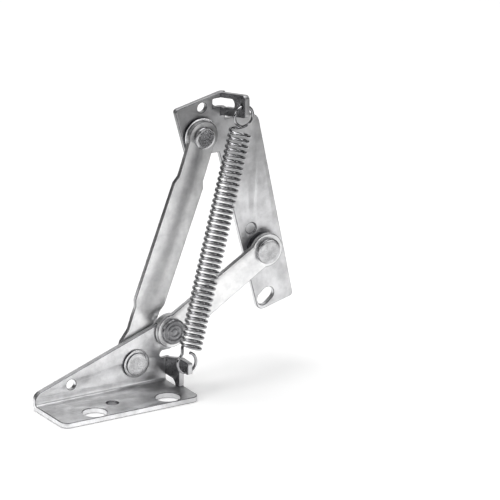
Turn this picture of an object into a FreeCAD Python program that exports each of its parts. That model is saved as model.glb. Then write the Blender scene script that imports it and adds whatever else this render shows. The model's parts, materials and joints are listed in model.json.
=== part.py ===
"""Sprung four-bar flap hinge in plated sheet steel, drawn in its open position.

A folded foot bracket carries a long arm behind its web and a short link in
front of it. Both end on the upper plate, and a tension spring runs from a lug
of the foot to a lug of the plate. All sizes are in millimetres. Places are
measured from the pivot of the long arm in the foot: x to the right, z up, and
"reach" is the distance towards the viewer from the front face of the web.
"""
import FreeCAD, Part
import Sketcher
import math
import os

doc = FreeCAD.newDocument("spring_hinge")
sheet = doc.addObject("Spreadsheet::Sheet", "sizes")

SIZES = {
    # sheet thicknesses and the gaps between the layers
    "foot_sheet": 2.4,
    "arm_sheet": 2.0,
    "link_sheet": 2.0,
    "plate_sheet": 2.4,
    "washer_thick": 0.5,
    "arm_spacer_thick": 1.5,
    "link_spacer_thick": 3.0,
    # pivots
    "link_foot_x": 16.4,
    "link_foot_z": 12.0,
    "arm_head_x": 32.3,
    "arm_head_z": 94.4,
    "link_head_x": 62.2,
    "link_head_z": 39.3,
    # foot bracket
    "foot_left": 48.2,
    "lug_left": 14.5,
    "foot_drop": 12.2,
    "flange_reach": 24.4,
    "flange_corner": 3.5,
    "web_low_top": -5.2,
    "web_high_top": 17.4,
    "web_corner": 4.2,
    "ear_radius": 6.6,
    "fold_radius": 1.2,
    "notch_width": 3.5,
    "notch_left": 11.6,
    "notch_level": 1.6,
    "foot_hole_radius": 5.2,
    "foot_hole_pitch": 35.0,
    "foot_hole_mid": -12.8,
    "foot_hole_reach": 18.6,
    "screw_hole_radius": 2.6,
    "screw_hole_x": -18.6,
    "screw_hole_reach": 12.8,
    "web_hole_radius": 2.25,
    "web_hole_x": -30.9,
    "web_hole_z": -3.6,
    # lower lug
    "lug_reach": 10.8,
    "lug_root_top": -0.2,
    "lug_front_top": 2.9,
    "nose_past_spring": 2.8,
    "nose_top": 2.7,
    "nose_lip": 1.2,
    "seat_width": 2.2,
    "relief_end": 8.0,
    "relief_rise": 2.2,
    # long arm
    "arm_wide_half": 7.3,
    "arm_neck_half": 6.1,
    "arm_foot_radius": 8.0,
    "arm_head_radius": 6.9,
    "arm_foot_flare": 7.5,
    "arm_foot_neck": 13.0,
    "arm_bend_low": 19.0,
    "arm_head_to_bend": 15.8,
    "arm_wide_start": 26.0,
    "arm_head_to_wide": 21.3,
    "arm_shoulder": 3.0,
    # short link
    "link_foot_radius": 7.2,
    "link_head_radius": 7.3,
    "link_half_width": 6.3,
    "link_neck_half_width": 5.8,
    # upper plate
    "plate_top_left_x": 20.6,
    "plate_top_left_z": 107.0,
    "plate_top_slope": 0.2,
    "plate_low_left_x": 26.3,
    "plate_low_left_z": 86.0,
    "plate_waist_x": 42.0,
    "plate_waist_z": 85.1,
    "plate_foot_left_x": 60.7,
    "plate_foot_left_z": 10.9,
    "plate_foot_right_x": 77.5,
    "plate_foot_right_z": 15.3,
    "plate_shoulder_x": 60.4,
    "plate_shoulder_z": 99.3,
    "plate_small_corner": 1.5,
    "plate_foot_corner": 3.0,
    "plate_shoulder_corner": 4.5,
    "plate_hole_radius": 2.2,
    "plate_hole_x": 33.6,
    "plate_hole_z": 106.2,
    "slot_radius": 2.9,
    "slot_length": 8.6,
    "slot_angle": 40.0,
    "slot_x": 64.2,
    "slot_z": 17.1,
    "dimple_radius": 2.5,
    "dimple_depth": 0.8,
    "dimple_x": 57.2,
    "dimple_z": 48.5,
    # upper lug
    "post_left": 42.3,
    "post_past_spring": 2.4,
    "post_root": 101.4,
    "post_rise": 0.235,
    "post_corner": 2.0,
    "window_radius": 2.0,
    "window_left": 39.5,
    "window_level": 107.1,
    "window_reach": 9.2,
    "loop_hole_radius": 1.2,
    # rivets and washers
    "shank_radius": 1.5,
    "main_shank_radius": 2.5,
    "small_head_radius": 4.8,
    "large_head_radius": 5.5,
    "head_thick": 2.0,
    "head_edge": 0.5,
    "tail_radius": 4.2,
    "tail_thick": 1.2,
    "foot_head_radius": 5.0,
    "foot_head_thick": 0.9,
    "ring_radius": 6.1,
    "ring_thick": 0.9,
    "washer_radius": 5.2,
    "wide_washer_radius": 7.3,
    "arm_spacer_radius": 7.8,
    "link_spacer_radius": 7.0,
    "running_fit": 0.05,
    "slip_length": 5.4,
    "slip_angle": 27.5,
    "slip_fit": 0.25,
    # spring
    "wire_radius": 0.65,
    "coil_radius": 4.35,
    "coil_turns": 40,
    "spring_reach": 15.4,
    "loop_clearance": 0.1,
    "coil_to_loop": 1.9,
    "spring_top_x": 43.2,
    "spring_top_z": 106.2,
    "spring_foot_z": 2.3,
}

for row, (word, number) in enumerate(SIZES.items(), start=1):
    sheet.set("A%d" % row, str(number))
    sheet.setAlias("A%d" % row, word)
doc.recompute()

AT = "sizes."


def size(word):
    """Value of one named size, as a plain number."""
    return float(getattr(sheet, word))


def value(text):
    """Number that an expression over the sheet gives."""
    result = sheet.evalExpression(text)
    return float(getattr(result, "Value", result))


# Heights and reaches that several pieces share, as expressions over the sheet.
FLANGE_TOP = "(sizes.foot_sheet - sizes.foot_drop)"
FOOT_RIGHT = "(sizes.lug_left + sizes.foot_sheet)"
ARM_BACK = "(-sizes.foot_sheet - sizes.washer_thick - sizes.arm_sheet)"
LINK_BACK = "sizes.washer_thick"
LINK_FRONT = "(sizes.washer_thick + sizes.link_sheet)"
PLATE_FRONT = "(sizes.washer_thick - sizes.link_spacer_thick)"
PLATE_BACK = "(sizes.washer_thick - sizes.link_spacer_thick - sizes.plate_sheet)"
HEAD_BACK = "(sizes.washer_thick - sizes.link_spacer_thick + sizes.arm_spacer_thick)"
POST_RIGHT = "(sizes.post_left + sizes.plate_sheet)"
SPRING_FOOT_X = "(sizes.lug_left + sizes.foot_sheet / 2)"
NOSE_REACH = "(sizes.spring_reach + sizes.nose_past_spring)"
POST_REACH = "(sizes.spring_reach + sizes.post_past_spring)"


def new_body(label):
    """PartDesign body whose frame is the pivot, shifted to the foot's holes."""
    body = doc.addObject("PartDesign::Body", label)
    body.Label = label
    body.setExpression("Placement.Base.x", "-sizes.foot_hole_mid")
    body.setExpression("Placement.Base.y", "sizes.foot_hole_reach")
    body.setExpression("Placement.Base.z", "sizes.foot_drop")
    return body


def place_on_line(body, start_x, start_z, end_x, end_z):
    """Turn a body so that its own x axis runs from one pivot to another."""
    angle = math.degrees(math.atan2(end_z - start_z, end_x - start_x))
    turn = FreeCAD.Rotation(FreeCAD.Vector(0, -1, 0), angle)
    body.Placement = FreeCAD.Placement(body.Placement.Base, turn)
    body.setExpression("Placement.Base.x", "%r - sizes.foot_hole_mid" % start_x)
    body.setExpression("Placement.Base.z", "%r + sizes.foot_drop" % start_z)


def new_sketch(body, name, plane, level):
    """Sketch on one of the body's own origin planes, lifted by an expression."""
    sketch = body.newObject("Sketcher::SketchObject", name)
    for feature in body.Origin.OriginFeatures:
        if feature.Role == plane:
            sketch.AttachmentSupport = [(feature, "")]
    sketch.MapMode = "FlatFace"
    sketch.setExpression("AttachmentOffset.Base.z", level)
    doc.recompute()
    return sketch


def bind_point(sketch, geometry, end, across, up):
    """Tie one point of a sketch to two expressions."""
    for kind, text in (("DistanceX", across), ("DistanceY", up)):
        number = sketch.addConstraint(Sketcher.Constraint(kind, -1, 1, geometry, end, value(text)))
        sketch.setExpression("Constraints[%d]" % number, text)


def polygon(sketch, corners):
    """Closed outline through corners given as pairs of expressions."""
    points = [FreeCAD.Vector(value(across), value(up), 0) for across, up in corners]
    first = sketch.GeometryCount
    for index, point in enumerate(points):
        following = points[(index + 1) % len(points)]
        sketch.addGeometry(Part.LineSegment(point, following), False)
    for index, (across, up) in enumerate(corners):
        previous = first + (index - 1) % len(corners)
        sketch.addConstraint(Sketcher.Constraint("Coincident", previous, 2, first + index, 1))
        bind_point(sketch, first + index, 1, across, up)


def circle(sketch, across, up, radius):
    """Circle with its centre and radius tied to expressions."""
    centre = FreeCAD.Vector(value(across), value(up), 0)
    shape = Part.Circle(centre, FreeCAD.Vector(0, 0, 1), value(radius))
    index = sketch.addGeometry(shape, False)
    bind_point(sketch, index, 3, across, up)
    number = sketch.addConstraint(Sketcher.Constraint("Radius", index, value(radius)))
    sketch.setExpression("Constraints[%d]" % number, radius)


def oblong(sketch, start, end, radius):
    """Slot outline with round ends about two points given as expressions."""
    first = FreeCAD.Vector(value(start[0]), value(start[1]), 0)
    last = FreeCAD.Vector(value(end[0]), value(end[1]), 0)
    wide = value(radius)
    along = math.atan2(last.y - first.y, last.x - first.x)
    side = FreeCAD.Vector(-math.sin(along), math.cos(along), 0) * wide
    axis = FreeCAD.Vector(0, 0, 1)
    quarter = math.pi / 2
    count = sketch.GeometryCount
    sketch.addGeometry(Part.LineSegment(first + side, last + side), False)
    sketch.addGeometry(Part.ArcOfCircle(Part.Circle(last, axis, wide), along - quarter, along + quarter), False)
    sketch.addGeometry(Part.LineSegment(last - side, first - side), False)
    sketch.addGeometry(
        Part.ArcOfCircle(Part.Circle(first, axis, wide), along + quarter, along + 3 * quarter), False)
    for line, line_end, arc, arc_end in ((0, 2, 1, 2), (2, 1, 1, 1), (2, 2, 3, 2), (0, 1, 3, 1)):
        sketch.addConstraint(
            Sketcher.Constraint("Tangent", count + line, line_end, count + arc, arc_end))
    bind_point(sketch, count + 1, 3, end[0], end[1])
    bind_point(sketch, count + 3, 3, start[0], start[1])
    number = sketch.addConstraint(Sketcher.Constraint("Radius", count + 1, wide))
    sketch.setExpression("Constraints[%d]" % number, radius)


def outer_bend(sketch, right, back, radius, margin):
    """Region outside a quarter round, at the corner of a bent sheet."""
    points = [
        (right, "%s - %s" % (back, radius)),
        ("%s + %s" % (right, margin), "%s - %s" % (back, radius)),
        ("%s + %s" % (right, margin), "%s + %s" % (back, margin)),
        ("%s - %s" % (right, radius), "%s + %s" % (back, margin)),
        ("%s - %s" % (right, radius), back),
    ]
    spots = [FreeCAD.Vector(value(across), value(up), 0) for across, up in points]
    count = sketch.GeometryCount
    for start, end in zip(spots, spots[1:]):
        sketch.addGeometry(Part.LineSegment(start, end), False)
    centre = FreeCAD.Vector(spots[4].x, spots[0].y, 0)
    round_shape = Part.Circle(centre, FreeCAD.Vector(0, 0, 1), value(radius))
    sketch.addGeometry(Part.ArcOfCircle(round_shape, 0, math.pi / 2), False)
    for index in range(4):
        bind_point(sketch, count + index, 1, points[index][0], points[index][1])
        sketch.addConstraint(
            Sketcher.Constraint("Coincident", count + index, 2, count + index + 1, 1 if index < 3 else 2))
    bind_point(sketch, count + 4, 2, points[4][0], points[4][1])
    sketch.addConstraint(Sketcher.Constraint("Coincident", count, 1, count + 4, 1))
    number = sketch.addConstraint(Sketcher.Constraint("Radius", count + 4, value(radius)))
    sketch.setExpression("Constraints[%d]" % number, radius)


def pad(body, sketch, name, length, midplane=False):
    """Pad a sketch along its normal."""
    feature = body.newObject("PartDesign::Pad", name)
    feature.Profile = sketch
    feature.setExpression("Length", length)
    feature.Midplane = midplane
    doc.recompute()
    return feature


def pocket_both_ways(body, sketch, name, length):
    """Cut a sketch evenly to both sides of its plane, and check that it cuts."""
    before = body.Shape.Volume
    feature = body.newObject("PartDesign::Pocket", name)
    feature.Profile = sketch
    feature.Midplane = True
    feature.setExpression("Length", length)
    doc.recompute()
    if body.Shape.Volume >= before:
        raise RuntimeError("nothing was cut by " + name)
    return feature


def round_edges(body, name, radius, chosen):
    """Fillet the edges whose middle the given test picks."""
    base = body.Tip
    picked = []
    for number, edge in enumerate(base.Shape.Edges, start=1):
        middle = edge.valueAt((edge.FirstParameter + edge.LastParameter) / 2)
        if chosen(middle, edge):
            picked.append("Edge%d" % number)
    if not picked:
        raise RuntimeError("no edge for " + name)
    feature = body.newObject("PartDesign::Fillet", name)
    feature.Base = (base, picked)
    feature.setExpression("Radius", radius)
    doc.recompute()
    return feature


def near(number, target):
    """True where two lengths agree to a hundredth of a millimetre."""
    return abs(number - target) < 0.01


def runs_along(edge, axis):
    """True for a straight edge that lies along an axis."""
    if edge.Curve.TypeId != "Part::GeomLine":
        return False
    direction = edge.Curve.Direction
    return abs(abs(direction.dot(axis)) - 1) < 1e-4


X_AXIS = FreeCAD.Vector(1, 0, 0)
Y_AXIS = FreeCAD.Vector(0, 1, 0)
Z_AXIS = FreeCAD.Vector(0, 0, 1)
THROUGH = "40"


def make_foot():
    """Folded bracket: web, flange, notched ear and the lug for the spring."""
    body = new_body("foot_bracket")

    web = new_sketch(body, "web_outline", "XZ_Plane", "-sizes.foot_sheet")
    polygon(web, [
        ("-sizes.foot_left", "-sizes.foot_drop"),
        (FOOT_RIGHT, "-sizes.foot_drop"),
        (FOOT_RIGHT, "sizes.web_high_top"),
        ("-sizes.foot_left", "sizes.web_low_top"),
    ])
    pad(body, web, "web", "sizes.foot_sheet")
    round_edges(body, "web_corners", "sizes.web_corner", lambda middle, edge: (
        runs_along(edge, Y_AXIS) and middle.z > size("web_low_top") - 1))

    ear = new_sketch(body, "ear_outline", "XZ_Plane", "-sizes.foot_sheet")
    circle(ear, "sizes.link_foot_x", "sizes.link_foot_z", "sizes.ear_radius")
    pad(body, ear, "ear", "sizes.foot_sheet")

    flange = new_sketch(body, "flange_outline", "XY_Plane", "-sizes.foot_drop")
    polygon(flange, [
        ("-sizes.foot_left", "-sizes.flange_reach"),
        (FOOT_RIGHT, "-sizes.flange_reach"),
        (FOOT_RIGHT, "sizes.foot_sheet"),
        ("-sizes.foot_left", "sizes.foot_sheet"),
    ])
    pad(body, flange, "flange", "sizes.foot_sheet")
    round_edges(body, "flange_corners", "sizes.flange_corner", lambda middle, edge: (
        runs_along(edge, Z_AXIS) and near(middle.y, -size("flange_reach"))))
    round_edges(body, "fold_inside", "sizes.fold_radius", lambda middle, edge: (
        runs_along(edge, X_AXIS) and near(middle.y, 0) and near(middle.z, value(FLANGE_TOP))))
    round_edges(body, "fold_outside", "sizes.fold_radius + sizes.foot_sheet", lambda middle, edge: (
        runs_along(edge, X_AXIS) and near(middle.y, size("foot_sheet")) and near(middle.z, -size("foot_drop"))))

    lug = new_sketch(body, "lug_outline", "YZ_Plane", "sizes.lug_left")
    polygon(lug, [
        ("sizes.foot_sheet / 2", FLANGE_TOP + " - sizes.foot_sheet / 2"),
        ("sizes.foot_sheet / 2", "sizes.lug_root_top"),
        ("-sizes.lug_reach", "sizes.lug_front_top"),
        ("-" + NOSE_REACH, "sizes.nose_top"),
        ("-" + NOSE_REACH, "sizes.spring_foot_z - %s - sizes.nose_lip" % SEAT_DROP),
        ("-sizes.lug_reach", "sizes.spring_foot_z - %s - sizes.nose_lip" % SEAT_DROP),
        ("-sizes.lug_reach", FLANGE_TOP + " - sizes.foot_sheet / 2"),
    ])
    pad(body, lug, "lug", "sizes.foot_sheet")
    round_edges(body, "nose_corners", "sizes.foot_sheet / 3", lambda middle, edge: (
        runs_along(edge, X_AXIS) and near(middle.y, -value(NOSE_REACH))))

    seat = new_sketch(body, "seat_outline", "YZ_Plane", "sizes.lug_left")
    seat_top = "sizes.spring_foot_z - %s" % SEAT_DROP
    polygon(seat, [
        ("-sizes.spring_reach - sizes.seat_width / 2", seat_top),
        ("-sizes.spring_reach + sizes.seat_width / 2", seat_top),
        ("-sizes.spring_reach + sizes.seat_width / 2", seat_top + " - 2 * sizes.nose_lip"),
        ("-sizes.spring_reach - sizes.seat_width / 2", seat_top + " - 2 * sizes.nose_lip"),
    ])
    pocket_both_ways(body, seat, "loop_seat", "3 * sizes.foot_sheet")

    relief = new_sketch(body, "relief_outline", "YZ_Plane", "sizes.lug_left + sizes.foot_sheet / 2")
    arch = "(sizes.relief_rise + sizes.foot_sheet / 2)"
    middle = "(sizes.foot_sheet / 2 - sizes.foot_drop)"
    oblong(relief, ("-sizes.relief_end + " + arch, middle), ("sizes.foot_sheet + " + arch, middle), arch)
    pocket_both_ways(body, relief, "corner_relief", "1.02 * sizes.foot_sheet")

    notch = new_sketch(body, "notch_outline", "XZ_Plane", "-sizes.foot_sheet / 2")
    oblong(notch,
           ("sizes.notch_left + sizes.notch_width / 2", "sizes.notch_level"),
           (FOOT_RIGHT + " + sizes.notch_width", "sizes.notch_level"), "sizes.notch_width / 2")
    pocket_both_ways(body, notch, "notch", "1.02 * sizes.foot_sheet")

    holes = new_sketch(body, "web_holes", "XZ_Plane", "0")
    circle(holes, "sizes.web_hole_x", "sizes.web_hole_z", "sizes.web_hole_radius")
    circle(holes, "0", "0", "sizes.main_shank_radius + sizes.running_fit")
    circle(holes, "sizes.link_foot_x", "sizes.link_foot_z", "sizes.shank_radius + sizes.running_fit")
    pocket_both_ways(body, holes, "web_drilling", "3 * sizes.foot_sheet")

    flange_holes = new_sketch(body, "flange_holes", "XY_Plane", "-sizes.foot_drop")
    for side in ("-", "+"):
        circle(flange_holes, "sizes.foot_hole_mid %s sizes.foot_hole_pitch / 2" % side,
               "-sizes.foot_hole_reach", "sizes.foot_hole_radius")
    circle(flange_holes, "sizes.screw_hole_x", "-sizes.screw_hole_reach", "sizes.screw_hole_radius")
    pocket_both_ways(body, flange_holes, "flange_drilling", "3 * sizes.foot_sheet")
    return body


def make_arm():
    """Long strip, wide in the middle and leaning forward to its head."""
    body = new_body("long_arm")
    length = "hypot(sizes.arm_head_x; sizes.arm_head_z)"
    bend_high = "(%s - sizes.arm_head_to_bend)" % length
    wide_end = "(%s - sizes.arm_head_to_wide)" % length
    place_on_line(body, 0.0, 0.0, size("arm_head_x"), size("arm_head_z"))

    side = new_sketch(body, "side_outline", "XY_Plane", "0")
    polygon(side, [
        ("0", "-" + ARM_BACK),
        ("sizes.arm_bend_low", "-" + ARM_BACK),
        (bend_high, "-" + HEAD_BACK),
        (length, "-" + HEAD_BACK),
        (length, "-%s - sizes.arm_sheet" % HEAD_BACK),
        (bend_high, "-%s - sizes.arm_sheet" % HEAD_BACK),
        ("sizes.arm_bend_low", "-%s - sizes.arm_sheet" % ARM_BACK),
        ("0", "-%s - sizes.arm_sheet" % ARM_BACK),
    ])
    pad(body, side, "strip", "2 * sizes.arm_foot_radius", midplane=True)

    trim = new_sketch(body, "trim_outline", "XZ_Plane", "0")
    edge = "2 * sizes.arm_foot_radius"
    for sign in ("", "-"):
        polygon(trim, [
            ("sizes.arm_foot_flare", sign + "(sizes.arm_foot_radius)"),
            ("sizes.arm_foot_neck", sign + "(sizes.arm_neck_half)"),
            ("sizes.arm_wide_start - sizes.arm_shoulder", sign + "(sizes.arm_neck_half)"),
            ("sizes.arm_wide_start", sign + "(sizes.arm_wide_half)"),
            (wide_end, sign + "(sizes.arm_wide_half)"),
            (wide_end + " + sizes.arm_shoulder", sign + "(sizes.arm_neck_half)"),
            (length + " + 1", sign + "(sizes.arm_neck_half)"),
            (length + " + 1", sign + "(%s)" % edge),
            ("sizes.arm_foot_flare", sign + "(%s)" % edge),
        ])
    pocket_both_ways(body, trim, "side_trim", THROUGH)

    ends = (("foot_end", "0", "sizes.arm_foot_radius", ARM_BACK),
            ("head_end", length, "sizes.arm_head_radius", HEAD_BACK))
    for name, across, radius, level in ends:
        outline = new_sketch(body, name + "_outline", "XZ_Plane", level)
        circle(outline, across, "0", radius)
        pad(body, outline, name, "sizes.arm_sheet")

    holes = new_sketch(body, "arm_holes", "XZ_Plane", "0")
    circle(holes, "0", "0", "sizes.main_shank_radius + sizes.running_fit")
    circle(holes, length, "0", "sizes.shank_radius + sizes.running_fit")
    pocket_both_ways(body, holes, "arm_drilling", THROUGH)
    return body


def make_link():
    """Short strip with round ends, drawn along its own x axis."""
    body = new_body("short_link")
    length = "hypot(sizes.link_head_x - sizes.link_foot_x; sizes.link_head_z - sizes.link_foot_z)"
    place_on_line(body, size("link_foot_x"), size("link_foot_z"), size("link_head_x"), size("link_head_z"))
    strip = new_sketch(body, "strip_outline", "XZ_Plane", LINK_BACK)
    polygon(strip, [
        ("0", "-sizes.link_half_width"),
        (length, "-sizes.link_neck_half_width"),
        (length, "sizes.link_neck_half_width"),
        ("0", "sizes.link_half_width"),
    ])
    pad(body, strip, "strip", "sizes.link_sheet")
    ends = (("foot_end", "0", "sizes.link_foot_radius"), ("head_end", length, "sizes.link_head_radius"))
    for name, across, radius in ends:
        outline = new_sketch(body, name + "_outline", "XZ_Plane", LINK_BACK)
        circle(outline, across, "0", radius)
        pad(body, outline, name, "sizes.link_sheet")
    holes = new_sketch(body, "link_holes", "XZ_Plane", "0")
    circle(holes, "0", "0", "sizes.shank_radius + sizes.running_fit")
    circle(holes, length, "0", "sizes.shank_radius + sizes.running_fit")
    pocket_both_ways(body, holes, "link_drilling", THROUGH)
    return body


def make_plate():
    """Wing plate with its bent lug, windows, screw holes and slip slot."""
    body = new_body("upper_plate")
    top_line = "(sizes.plate_top_left_z + sizes.plate_top_slope * (%s - sizes.plate_top_left_x))"

    outline = new_sketch(body, "plate_outline", "XZ_Plane", PLATE_BACK)
    polygon(outline, [
        ("sizes.plate_top_left_x", "sizes.plate_top_left_z"),
        ("sizes.plate_low_left_x", "sizes.plate_low_left_z"),
        ("sizes.plate_waist_x", "sizes.plate_waist_z"),
        ("sizes.plate_foot_left_x", "sizes.plate_foot_left_z"),
        ("sizes.plate_foot_right_x", "sizes.plate_foot_right_z"),
        ("sizes.plate_shoulder_x", "sizes.plate_shoulder_z"),
        (POST_RIGHT, "sizes.plate_shoulder_z"),
        (POST_RIGHT, top_line % POST_RIGHT),
    ])
    pad(body, outline, "plate", "sizes.plate_sheet")

    corners = {
        "small_corners": ("plate_small_corner", (
            ("plate_top_left_x", "plate_top_left_z"),
            ("plate_low_left_x", "plate_low_left_z"),
            ("plate_foot_right_x", "plate_foot_right_z"))),
        "foot_corner": ("plate_foot_corner", (("plate_foot_left_x", "plate_foot_left_z"),)),
        "shoulder_corner": ("plate_shoulder_corner", (("plate_shoulder_x", "plate_shoulder_z"),)),
    }
    for name, (radius, places) in corners.items():
        spots = [(size(across), size(up)) for across, up in places]
        round_edges(body, name, AT + radius, lambda middle, edge: runs_along(edge, Y_AXIS) and any(
            near(middle.x, across) and near(middle.z, up) for across, up in spots))

    post = new_sketch(body, "post_outline", "YZ_Plane", "sizes.post_left")
    root = "-%s + sizes.plate_sheet / 2" % PLATE_FRONT
    climb = " + sizes.post_rise * (%s - %s)" % (POST_REACH, PLATE_FRONT)
    post_top = top_line % "sizes.post_left"
    polygon(post, [
        (root, "sizes.post_root"),
        ("-" + PLATE_FRONT, "sizes.post_root"),
        ("-" + POST_REACH, "sizes.post_root" + climb),
        ("-" + POST_REACH, post_top + climb),
        ("-" + PLATE_FRONT, post_top),
        (root, post_top),
    ])
    pad(body, post, "post", "sizes.plate_sheet")
    round_edges(body, "post_corners", "sizes.post_corner", lambda middle, edge: (
        runs_along(edge, X_AXIS) and near(middle.y, -value(POST_REACH))))
    bend = new_sketch(body, "bend_outline", "XY_Plane", "sizes.plate_shoulder_z + 10")
    outer_bend(bend, POST_RIGHT, "-" + PLATE_BACK, "sizes.plate_sheet", "sizes.fold_radius")
    pocket_both_ways(body, bend, "bend_outside", "20")

    window = new_sketch(body, "window_in_plate", "XZ_Plane", PLATE_FRONT)
    oblong(window,
           ("sizes.window_left + sizes.window_radius", "sizes.window_level"),
           (POST_RIGHT + " + sizes.window_radius", "sizes.window_level"), "sizes.window_radius")
    pocket_both_ways(body, window, "plate_window", "2 * sizes.plate_sheet + sizes.window_radius / 2")
    opening = new_sketch(body, "window_in_post", "YZ_Plane", "sizes.post_left")
    reach = "(sizes.window_reach - sizes.window_radius)"
    oblong(opening,
           ("-%s" % reach, "sizes.window_level + sizes.post_rise * (%s - %s)" % (reach, PLATE_FRONT)),
           ("-" + PLATE_FRONT, "sizes.window_level"), "sizes.window_radius")
    pocket_both_ways(body, opening, "post_window", "3 * sizes.plate_sheet")
    eye = new_sketch(body, "loop_eye", "YZ_Plane", "sizes.post_left")
    circle(eye, "-sizes.spring_reach",
           "sizes.spring_top_z + sizes.coil_radius + (sizes.loop_hole_radius - sizes.wire_radius) / 2",
           "sizes.loop_hole_radius")
    pocket_both_ways(body, eye, "loop_hole", "3 * sizes.plate_sheet")

    holes = new_sketch(body, "plate_holes", "XZ_Plane", PLATE_FRONT)
    circle(holes, "sizes.plate_hole_x", "sizes.plate_hole_z", "sizes.plate_hole_radius")
    circle(holes, "sizes.arm_head_x", "sizes.arm_head_z", "sizes.shank_radius + sizes.running_fit")
    half = "(sizes.slot_length / 2 - sizes.slot_radius)"
    oblong(holes,
           ("sizes.slot_x - %s * cos(sizes.slot_angle * 1 deg)" % half,
            "sizes.slot_z - %s * sin(sizes.slot_angle * 1 deg)" % half),
           ("sizes.slot_x + %s * cos(sizes.slot_angle * 1 deg)" % half,
            "sizes.slot_z + %s * sin(sizes.slot_angle * 1 deg)" % half), "sizes.slot_radius")
    oblong(holes,
           ("sizes.link_head_x", "sizes.link_head_z"),
           ("sizes.link_head_x + sizes.slip_length * cos(sizes.slip_angle * 1 deg)",
            "sizes.link_head_z + sizes.slip_length * sin(sizes.slip_angle * 1 deg)"),
           "sizes.shank_radius + sizes.slip_fit")
    pocket_both_ways(body, holes, "plate_drilling", "3 * sizes.plate_sheet")

    dimple = new_sketch(body, "dimple_outline", "XZ_Plane", PLATE_FRONT)
    circle(dimple, "sizes.dimple_x", "sizes.dimple_z", "sizes.dimple_radius")
    pocket_both_ways(body, dimple, "dimple", "2 * sizes.dimple_depth")
    return body


def turned(label, across, up, section):
    """Piece of revolution about a pivot axis; section lists radius and reach."""
    body = new_body(label)
    body.setExpression("Placement.Base.x", "%s - sizes.foot_hole_mid" % across)
    body.setExpression("Placement.Base.z", "%s + sizes.foot_drop" % up)
    sketch = new_sketch(body, label + "_section", "XY_Plane", "0")
    polygon(sketch, [(radius, "-(%s)" % reach) for radius, reach in section])
    feature = body.newObject("PartDesign::Revolution", label + "_turning")
    feature.Profile = sketch
    feature.ReferenceAxis = (sketch, ["V_Axis"])
    feature.Angle = 360
    doc.recompute()
    return body


def rivet(label, across, up, seat, tail_seat, shank, head, thick="sizes.head_thick"):
    """Rivet whose head sits on one reach and whose tail closes on another."""
    head_top = "(%s + %s)" % (seat, thick)
    tail_end = "(%s - sizes.tail_thick)" % tail_seat
    return turned(label, across, up, [
        ("0", head_top),
        (head + " - sizes.head_edge", head_top),
        (head, head_top + " - sizes.head_edge"),
        (head, seat),
        (shank, seat),
        (shank, tail_seat),
        ("sizes.tail_radius", tail_seat),
        ("sizes.tail_radius", tail_end + " + sizes.head_edge"),
        ("sizes.tail_radius - sizes.head_edge", tail_end),
        ("0", tail_end),
    ])


def disc(label, across, up, back, thick, radius, bore):
    """Flat ring about a pivot, from its back face towards the viewer."""
    front = "(%s + %s)" % (back, thick)
    return turned(label, across, up, [
        (bore, back), (radius, back), (radius, front), (bore, front)])


def make_pivots():
    """Rivets, washers and spacers of the four pivots."""
    shank = "sizes.shank_radius"
    main = "sizes.main_shank_radius"
    bore = "(sizes.shank_radius + sizes.running_fit)"
    main_bore = "(sizes.main_shank_radius + sizes.running_fit)"
    washer = "sizes.washer_thick"
    link_foot = ("sizes.link_foot_x", "sizes.link_foot_z")
    arm_head = ("sizes.arm_head_x", "sizes.arm_head_z")
    link_head = ("sizes.link_head_x", "sizes.link_head_z")
    arm_tail = "(%s - sizes.washer_thick)" % ARM_BACK
    plate_tail = "(%s - sizes.washer_thick)" % PLATE_BACK
    head_front = "(%s + sizes.arm_sheet)" % HEAD_BACK
    return [
        rivet("foot_arm_rivet", "0", "0", "sizes.ring_thick", arm_tail, main,
              "sizes.foot_head_radius", "sizes.foot_head_thick"),
        disc("foot_arm_ring", "0", "0", "0", "sizes.ring_thick", "sizes.ring_radius", main_bore),
        disc("foot_arm_washer", "0", "0", "-(sizes.foot_sheet + sizes.washer_thick)", washer,
             "sizes.washer_radius", main_bore),
        disc("foot_arm_tail_washer", "0", "0", arm_tail, washer, "sizes.washer_radius", main_bore),
        rivet("foot_link_rivet", *link_foot, LINK_FRONT, "-sizes.foot_sheet", shank,
              "sizes.large_head_radius"),
        disc("foot_link_washer", *link_foot, "0", washer, "sizes.washer_radius", bore),
        rivet("arm_plate_rivet", *arm_head, head_front, plate_tail, shank, "sizes.small_head_radius"),
        disc("arm_plate_spacer", *arm_head, PLATE_FRONT, "sizes.arm_spacer_thick",
             "sizes.arm_spacer_radius", bore),
        disc("arm_plate_tail_washer", *arm_head, plate_tail, washer, "sizes.washer_radius", bore),
        rivet("link_plate_rivet", *link_head, LINK_FRONT, plate_tail, shank, "sizes.large_head_radius"),
        disc("link_plate_spacer", *link_head, PLATE_FRONT, "sizes.link_spacer_thick",
             "sizes.link_spacer_radius", bore),
        disc("link_plate_tail_washer", *link_head, plate_tail, washer, "sizes.wide_washer_radius", bore),
    ]


# Drop from the loop's centre to its seat on the lug: the lug's corners clear the wire.
SEAT_DROP = ("sqrt((sizes.coil_radius - sizes.wire_radius - sizes.loop_clearance)^2"
             " - (sizes.foot_sheet / 2)^2)")

FIRST_LOOP_ANGLE = -35.0
LOOP_SWEEP = 300.0


def swept_wire(edges):
    """Solid of round wire along joined edges."""
    spine = Part.Wire(edges)
    first = edges[0]
    start = first.valueAt(first.FirstParameter)
    tangent = first.tangentAt(first.FirstParameter)
    section = Part.Wire(Part.makeCircle(size("wire_radius"), start, tangent))
    return spine.makePipeShell([section], True, True)


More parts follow.
